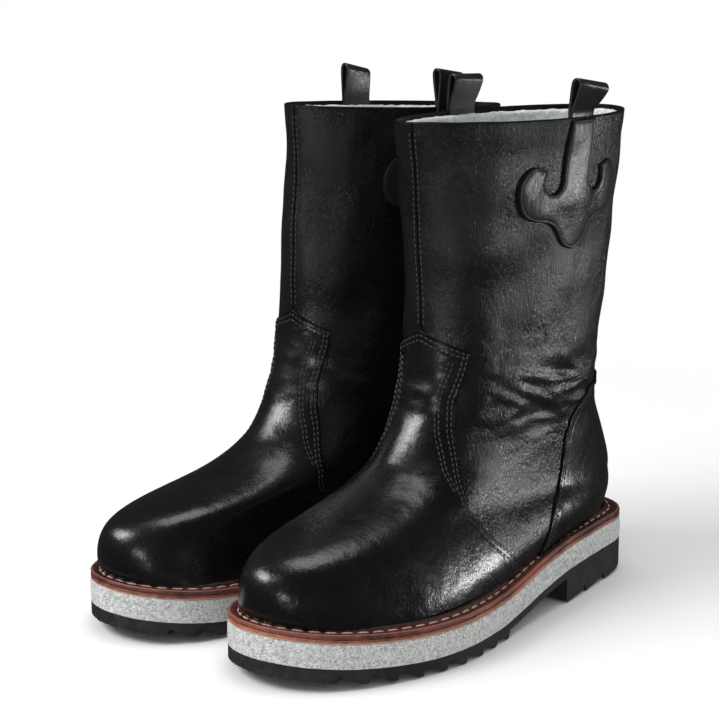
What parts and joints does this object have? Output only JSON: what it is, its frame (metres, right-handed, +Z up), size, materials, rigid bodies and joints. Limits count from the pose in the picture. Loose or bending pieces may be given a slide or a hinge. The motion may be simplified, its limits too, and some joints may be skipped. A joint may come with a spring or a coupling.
{
  "type": "fire boots",
  "caption": "Pair of black leather pull-on fire boots with welted layered soles, fleece lining, curled strap patches and pull loops.",
  "frame": {"origin": "on the ground, under the middle of the pair's bounding box", "axes": "+Z up, toes towards -Y, the wearer's left boot on +X"},
  "size_m": [0.2264, 0.317, 0.2953],
  "materials": {
    "leather": "semi-gloss black leather with fine grain and creases",
    "strap_leather": "smooth dark leather strap",
    "fleece": "white fleece lining",
    "steel": "hidden spring steel",
    "board": "brown fibre board",
    "cork": "granulated cork",
    "welt": "red-brown welt leather with burnished edge",
    "thread": "pale waxed thread",
    "midsole": "light grey speckled crepe",
    "rubber": "matte black tread rubber"
  },
  "bodies": {
    "right_foot": {"right_vamp": "leather", "right_quarter_lateral_foot": "leather", "right_quarter_medial_foot": "leather", "right_counter_cover": "leather", "right_toe_cap": "steel", "right_heel_stiffener": "board", "right_lining_foot": "fleece", "right_footbed": "fleece", "right_insole_board": "board", "right_puncture_plate": "steel", "right_shank": "steel", "right_cork_filler": "cork", "right_welt": "welt", "right_welt_thread": "thread", "right_slip_sole": "welt", "right_midsole": "midsole", "right_outsole": "rubber", "right_heel_block": "rubber"},
    "right_shaft": {"right_vamp_tongue": "leather", "right_quarter_lateral_shaft": "leather", "right_quarter_medial_shaft": "leather", "right_lining_shaft": "fleece", "right_strap_lateral": "leather", "right_strap_medial": "leather"},
    "right_loop_lateral": {"right_pull_loop_lateral": "strap_leather"},
    "right_loop_medial": {"right_pull_loop_medial": "strap_leather"},
    "left_foot": {"left_vamp": "leather", "left_quarter_lateral_foot": "leather", "left_quarter_medial_foot": "leather", "left_counter_cover": "leather", "left_toe_cap": "steel", "left_heel_stiffener": "board", "left_lining_foot": "fleece", "left_footbed": "fleece", "left_insole_board": "board", "left_puncture_plate": "steel", "left_shank": "steel", "left_cork_filler": "cork", "left_welt": "welt", "left_welt_thread": "thread", "left_slip_sole": "welt", "left_midsole": "midsole", "left_outsole": "rubber", "left_heel_block": "rubber"},
    "left_shaft": {"left_vamp_tongue": "leather", "left_quarter_lateral_shaft": "leather", "left_quarter_medial_shaft": "leather", "left_lining_shaft": "fleece", "left_strap_lateral": "leather", "left_strap_medial": "leather"},
    "left_loop_lateral": {"left_pull_loop_lateral": "strap_leather"},
    "left_loop_medial": {"left_pull_loop_medial": "strap_leather"}
  },
  "joints": [
    {"name": "left_boot_lift", "type": "slide", "parent": "right_foot", "child": "left_foot", "axis": [0, 0, 1], "range_m": [0, 0.3]},
    {"name": "left_ankle_flex", "type": "hinge", "parent": "left_foot", "child": "left_shaft", "pos_m": [0.04568, 0.05043, 0.12637], "axis": [0.9989, 0.0471, 0], "range_deg": [-5, 11], "stiffness_Nm_per_rad": 8},
    {"name": "right_ankle_flex", "type": "hinge", "parent": "right_foot", "child": "right_shaft", "pos_m": [-0.04568, 0.04763, 0.12637], "axis": [0.9989, -0.0471, 0], "range_deg": [-5, 11], "stiffness_Nm_per_rad": 8},
    {"name": "left_loop_lateral_tip", "type": "hinge", "parent": "left_shaft", "child": "left_loop_lateral", "pos_m": [0.08469, 0.07141, 0.277], "axis": [-0.0471, 0.9989, 0], "range_deg": [-75, 33], "stiffness_Nm_per_rad": 0.02},
    {"name": "left_loop_medial_tip", "type": "hinge", "parent": "left_shaft", "child": "left_loop_medial", "pos_m": [0.00304, 0.06755, 0.277], "axis": [0.0471, -0.9989, 0], "range_deg": [-41, 14], "stiffness_Nm_per_rad": 0.02},
    {"name": "right_loop_lateral_tip", "type": "hinge", "parent": "right_shaft", "child": "right_loop_lateral", "pos_m": [-0.08446, 0.07356, 0.27782], "axis": [-0.0471, -0.9989, 0], "range_deg": [-55, 55], "stiffness_Nm_per_rad": 0.02},
    {"name": "right_loop_medial_tip", "type": "hinge", "parent": "right_shaft", "child": "right_loop_medial", "pos_m": [-0.0088, 0.06997, 0.27782], "axis": [0.0471, 0.9989, 0], "range_deg": [-55, 2], "stiffness_Nm_per_rad": 0.02}
  ]
}
